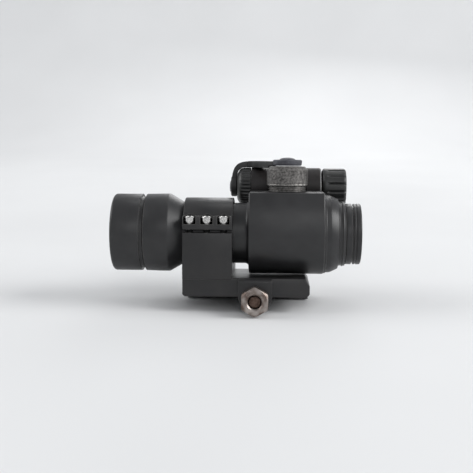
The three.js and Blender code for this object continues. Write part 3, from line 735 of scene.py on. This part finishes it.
# ---- battery tube, cap and knob ----
def make_battery_cap():
    start, length, radius = lying_round("battery_cap")
    rows = [(3.2 + (length - 3.6) * i / 6, radius) for i in range(7)]
    bm = turned([
        (0, 0), (0, 6.8), (0.5, 7.6), (1.2, 8.75), (2.1, 9.4), *rows, (length, radius - 0.15),
        (length, 9.2), (5.4, 9.2), (5.4, 8.1), (1.8, 8.1), (1.8, 2.2), (2.3, 2.2), (2.3, 0),
    ], 180, 0)
    fluted(bm, 2.4, length - 0.3, 30, 0.5)
    finished(placed(bm, ALONG_X, on_switch_axis(start)), "battery_cap_ribbed", "battery_cap",
             ["battery_cap"], ribbed_black)


def make_switch_housing():
    start, length, radius = lying_round("switch_housing")
    rows, facets = 10, 68
    band = (32.2, length - 0.9)
    bm = turned([
        (0, 6.2), (0, 7.7), (3.5, 7.7), (3.5, radius - 0.2), (3.7, radius), (31, radius),
        (31.2, radius - 0.4), (31.7, radius - 0.4), (31.9, radius),
        *knurl_rows(*band, radius, rows), (length - 0.5, radius - 0.1), (length, radius - 0.5),
        (length, 7.6), (36, 7.6), (36, 7), (25, 7), (25, 0), (14, 0), (14, 6.2),
    ], facets, 0)
    knurled(bm, *band, radius, 0.22, facets, rows)
    finished(placed(bm, ALONG_X, on_switch_axis(start)), "battery_tube", "frame",
             ["switch_housing"], tube_black, 24)


def make_brightness_knob():
    start, length, radius = lying_round("switch_knob")
    rows = [(1.6 + (length - 3.4) * i / 9, radius) for i in range(10)]
    bm = turned([
        (0, 2.5), (0, 4), (0.7, 4), (0.7, 6.4), (0, 6.4), (0, radius - 1.4), (0.5, radius - 0.5),
        (1.2, radius - 0.1), *rows, *arc((length - 1.6, radius - 1.6), 1.6, 75, 0, 5),
        (length, 6.2), (length - 0.5, 5.6), (length - 0.5, 3.4), (length - 0.2, 3),
        (length - 1.7, 3), (length - 1.7, 2.5),
    ], 210, 0)
    fluted(bm, 2.6, length - 0.2, 14, 0.75, 9)
    finished(placed(bm, ALONG_X, on_switch_axis(start)), "brightness_knob", "switch_knob",
             ["switch_knob"], ribbed_black, 30)


# ---- mount ----
def profile_across(points, low, high, ease):
    """A side view [x, height above the axis], run across the mount."""
    return extruded([(x, z + AXIS_Z) for x, z in points], low, high, ONTO_XZ, ease)


def section_along(points, low, high, ease):
    """An end view [y, height above the axis], run along the mount."""
    return extruded([(y, z + AXIS_Z) for y, z in points], low, high, ONTO_YZ, ease)


def clamp_bore(radius, low, high):
    return rod(radius, low, high, ALONG_Y, CLAMP_AT)


def screw_bore(radius, low, high, x, y):
    return rod(radius, low, high, ALONG_Z, Vector((x, y, AXIS_Z)))


def ring_bore():
    return rod(RING_BORE, RING_LOW.x - 1, RING_HIGH.x + 1, ALONG_X, on_axis(0), ROUND)


def screw_places():
    """Each ring screw's node with its X and Y."""
    places = []
    for side in ("near", "far"):
        for i in (1, 2, 3):
            node = f"{side}_ring_screw_{i}"
            places.append((node, middle(node).x, middle(node).y))
    return places


def make_mount_base():
    """The plate, the tower with the ring's lower half, and the fixed jaw."""
    half = BASE_HIGH.y
    front, back = BASE_LOW.x, BASE_HIGH.x
    plate_half = 18.6
    plate = profile_across([
        (front, SEAT_Z + 1), (front + 1, SEAT_Z), (back - 1.5, SEAT_Z), (back, SEAT_Z + 1.5),
        (back, -24), (back - 2, BASE_TOP), (front, BASE_TOP),
    ], -plate_half, plate_half, 0.5)
    tower = block((RING_LOW.x, RING_HIGH.x), (-half, half),
                  (AXIS_Z + BASE_TOP - 0.8, AXIS_Z + BLOCK_TOP), 0.5)
    jaw_low = BASE_LOW.z - AXIS_Z
    jaw = section_along([
        (8.13, SEAT_Z + 1), (8.13, SEAT_Z), (10.9, SEAT_Z - 2.9), (9, jaw_low),
        (plate_half - 0.8, jaw_low), (plate_half, jaw_low + 0.8), (plate_half, SEAT_Z + 1.5),
    ], front, back, 0.25)
    holes = [screw_bore(SCREW_HOLE_R, -8.5, 3, x, y) for node, x, y in screw_places()]
    bm = combined("mount_base_machined", plate, joins=[tower, jaw], cuts=[
        ring_bore(), clamp_bore(3.3, -25, -11.7), clamp_bore(2.8, -12, 25),
        clamp_bore(3.9, 15.3, 25), *holes,
    ])
    finished(bm, "mount_base_machined", "frame", ["mount_base"], mount_black)


def make_ring_cap():
    """The ring's upper half with a shoulder on each side and a pocket for each screw."""
    half, low, high = RING_HIGH.y, RING_LOW.x, RING_HIGH.x
    radius = RING_HIGH.z - AXIS_Z
    arch = rod(radius, low, high, ALONG_X, on_axis(0), ROUND, 0.5)
    shoulder = block((low, high), (-half, half), (AXIS_Z + LUG_BOTTOM, AXIS_Z + SHOULDER_TOP), 0.5)
    below = block((low - 5, high + 5), (-30, 30), (AXIS_Z - 30, AXIS_Z + LUG_BOTTOM), 0)
    pockets = []
    for node, x, y in screw_places():
        side = math.copysign(1, y)
        mouth = sorted((y, side * (half + 3)))
        pockets.append(screw_bore(POCKET_R, LUG_TOP, radius, x, y))
        pockets.append(block((x - POCKET_R, x + POCKET_R), mouth,
                             (AXIS_Z + LUG_TOP, AXIS_Z + radius), 0))
        pockets.append(screw_bore(SCREW_HOLE_R, 0, LUG_TOP + 1, x, y))
    bm = combined("ring_cap_machined", arch, joins=[shoulder], cuts=[ring_bore(), below, *pockets])
    finished(bm, "ring_cap_machined", "frame", ["ring_cap"], mount_black)


def make_ring_screws():
    for node, x, y in screw_places():
        seat = LUG_TOP + 0.3
        top = seat + 3.45
        screw = turned([
            (-8, 0), (-7.6, 1.2), (-7.2, 1.5), (seat, 1.5), (seat + 0.05, 1.9), (seat + 0.7, 2.35),
            (seat + 1.3, 2.58), (top - 0.5, 2.6), (top, 2.2), (top, 1.75), (top - 0.4, 1.55),
            (top - 0.4, 0),
        ], 40, 0)
        socket = rod(1.5, top - 1.8, top + 1, ALONG_Z, Vector(), 6)
        bm = combined(node, screw, cuts=[socket])
        finished(placed(bm, ALONG_Z, Vector((x, y, AXIS_Z))), node + "_socket_head", "frame",
                 [node], screw_steel)


def make_clamp_plate():
    """The moving jaw, with its two lower corners cut away."""
    low, high = span("clamp_plate")
    face, inner = low.y, -18.9
    top, bottom = high.z - AXIS_Z, low.z - AXIS_Z
    bm = section_along([
        (face, top - 1), (face + 1, top), (inner, top), (inner, SEAT_Z - 0.3),
        (-8.43, SEAT_Z - 0.3), (-10.9, -32.3), (-9.3, bottom), (face + 1, bottom),
        (face, bottom + 1),
    ], low.x, high.x, 0.35)
    corners = []
    for edge, inward in ((low.x, 1), (high.x, -1)):
        corners.append(extruded([
            (edge - inward, low.z - 1), (edge + 1.9 * inward, low.z - 1),
            (edge + 1.9 * inward, low.z), (edge, low.z + 4.6), (edge - inward, low.z + 4.6),
        ], -30, -5, ONTO_XZ, 0))
    bm = combined("clamp_plate_machined", bm,
                  cuts=[clamp_bore(3.4, -30, -5), *corners])
    finished(bm, "clamp_plate_machined", "clamp_plate", ["clamp_plate"],
             mount_black)


def make_clamp_washer():
    low, high = span("clamp_washer")
    radius = (high.z - low.z) / 2
    washer = turned([(low.y, 3.4), (low.y, radius), (high.y, radius), (high.y, 3.4)],
                    SMALL_ROUND, 0.15)
    finished(placed(washer, ALONG_Y, CLAMP_AT), "clamp_washer_disc", "clamp_plate",
             ["clamp_washer"], nut_steel)


def make_clamp_nut():
    """A hexagon nut with its corners chamfered on both faces."""
    low, high = span("clamp_nut")
    corner = (high.z - low.z) / 2
    depth = high.y - low.y
    flat = corner * math.cos(math.pi / 6)
    cone = (corner - flat) / math.sqrt(3)
    nut = rod(corner, low.y, high.y, ALONG_Z, Vector(), 6)
    bmesh.ops.rotate(nut, matrix=Matrix.Rotation(math.pi / 2, 3, "Z"), verts=nut.verts[:])
    upright = [e for e in nut.edges if abs(e.verts[0].co.z - e.verts[1].co.z) > depth / 2]
    bevelled(nut, upright, 0.9, 4)
    trim = turned([
        (low.y - 1, flat - 0.9), (low.y, flat - 0.35), (low.y + cone * 1.9, corner + 0.1),
        (high.y - cone, corner + 0.1), (high.y, flat), (high.y + 1, flat - 0.9),
        (high.y + 1, 20), (low.y - 1, 20),
    ], 72, 0)
    hole = turned([(low.y - 1, 0), (low.y - 1, 3.9), (low.y, 3.9), (low.y + 0.55, 3.3),
                   (high.y + 1, 3.3), (high.y + 1, 0)], SMALL_ROUND, 0)
    nut = combined("clamp_nut_hexagon", nut, cuts=[trim, hole])
    finished(placed(nut, ALONG_Y, CLAMP_AT), "clamp_nut_hexagon", "clamp_nut", ["clamp_nut"],
             nut_steel)


def make_clamp_bolt():
    low, high = span("clamp_bolt")
    bolt = turned([
        (low.y, 0), (low.y, 1.4), (low.y + 0.15, 2.2), (low.y + 0.5, 2.75),
        *thread(low.y + 0.9, low.y + 9, 2.7, 0.28, 0.8), (-12.4, 2.95), (-12.4, 2.5), (15.6, 2.5),
        (15.6, 3.6), (high.y - 0.3, 3.6), (high.y, 3.3), (high.y, 1.6), (high.y - 1.6, 1.6),
        (high.y - 1.6, 0),
    ], SMALL_ROUND, 0)
    finished(placed(bolt, ALONG_Y, CLAMP_AT), "clamp_bolt_threaded", "frame", ["clamp_bolt"],
             bolt_steel)


# ---- surroundings ----
def make_stage():
    """A pale floor that curves up into a wall behind. It leans so that it touches the nut's
    lowest corner and the fixed jaw's edge."""
    nut_low, nut_high = span("clamp_nut")
    jaw_edge = Vector((0, BASE_HIGH.y - 1.5, BASE_LOW.z))
    foot = Vector((0, nut_high.y, nut_low.z))
    lean = math.atan2(jaw_edge.z - foot.z, jaw_edge.y - foot.y)
    front, back, fillet, rise, half = -1500, 900, 500, 1500, 1600
    bm = bmesh.new()
    bend = [(back + y, z) for z, y in arc((fillet, 0), fillet, 180, 90, 12)]
    path = [(front, 0), *bend, (back + fillet, rise)]
    points = [bm.verts.new((-half, y, z)) for y, z in path]
    edges = [bm.edges.new(pair) for pair in zip(points, points[1:])]
    run = bmesh.ops.extrude_edge_only(bm, edges=edges)
    moved = [v for v in run["geom"] if isinstance(v, bmesh.types.BMVert)]
    bmesh.ops.translate(bm, vec=(2 * half, 0, 0), verts=moved)
    bmesh.ops.rotate(bm, matrix=Matrix.Rotation(lean, 3, "X"), verts=bm.verts[:])
    bmesh.ops.translate(bm, vec=foot, verts=bm.verts[:])
    bmesh.ops.scale(bm, vec=(MM, MM, MM), verts=bm.verts[:])
    floor = raw_object(bm, "pale_sweep")
    for polygon in floor.data.polygons:
        polygon.use_smooth = True
    material, tree, principled = shader("pale_paper", 0.9, 0.0, 0.1)
    tone = ramp(tree, noise(tree, 6, 2.0), [(0.3, (0.70, 0.705, 0.71)), (0.7, (0.73, 0.735, 0.74))])
    tree.links.new(tone, principled.inputs["Base Color"])
    floor.data.materials.append(material)


def area_light(name, place, aim, size, watts):
    light = bpy.data.lights.new(name, "AREA")
    light.shape = "DISK"
    light.size = size
    light.energy = watts
    made = bpy.data.objects.new(name, light)
    made.location = place
    made.rotation_euler = (Vector(aim) - Vector(place)).to_track_quat("-Z", "Y").to_euler()
    bpy.context.scene.collection.objects.link(made)


def make_lights():
    aim = MM * Vector((-15, 0, 10))
    area_light("right_softbox", (1.25, -0.3, 0.8), aim, 1.0, 17)
    area_light("left_softbox", (-1.25, 0.0, 0.8), aim, 1.0, 8)
    area_light("front_fill", (0.1, -1.1, 0.45), aim, 0.6, 1.3)
    area_light("back_strip", (0.1, 1.0, 0.62), aim, 0.5, 1.9)
    area_light("backdrop_light", (0.2, 0.45, 1.5), (0.1, 1.35, 0.7), 0.8, 2.8)
    world = bpy.data.worlds.new("studio")
    bpy.context.scene.world = world
    world.use_nodes = True
    background = world.node_tree.nodes["Background"]
    background.inputs["Color"].default_value = (0.95, 0.97, 1, 1)
    background.inputs["Strength"].default_value = 0.48
    bpy.context.scene.view_settings.view_transform = "Standard"


def make_camera():
    """Level with the sight's near side and a little above it, with a slight roll."""
    eye = Vector((-4.8, -450, AXIS_Z + 39))
    target = Vector((-25, 0, AXIS_Z - 1.85))
    roll = Matrix.Rotation(math.radians(0.36), 3, "Z")
    camera = bpy.data.cameras.new("camera")
    camera.lens = 68.95
    camera.sensor_width = 36
    made = bpy.data.objects.new("camera", camera)
    made.location = MM * eye
    level = (target - eye).to_track_quat("-Z", "Y").to_matrix()
    made.rotation_euler = (level @ roll).to_euler()
    bpy.context.scene.collection.objects.link(made)
    bpy.context.scene.camera = made


make_front_hood()
make_sight_body()
make_eyepiece_cell()
make_objective_lens()
make_eyepiece_lens()
make_retaining_ring("objective_retaining_ring")
make_retaining_ring("eyepiece_retaining_ring")
for side, turn in (("elevation", ALONG_Z), ("windage", ALONG_Y)):
    make_turret_flange(side, turn)
    make_turret_cap(side, turn)
    make_cap_strap_disc(side, turn)
make_strap_arms()
make_battery_strap()
make_battery_strap_stud()
make_battery_cap()
make_switch_housing()
make_brightness_knob()
make_mount_base()
make_ring_cap()
make_ring_screws()
make_clamp_plate()
make_clamp_washer()
make_clamp_nut()
make_clamp_bolt()
make_stage()
make_lights()
make_camera()
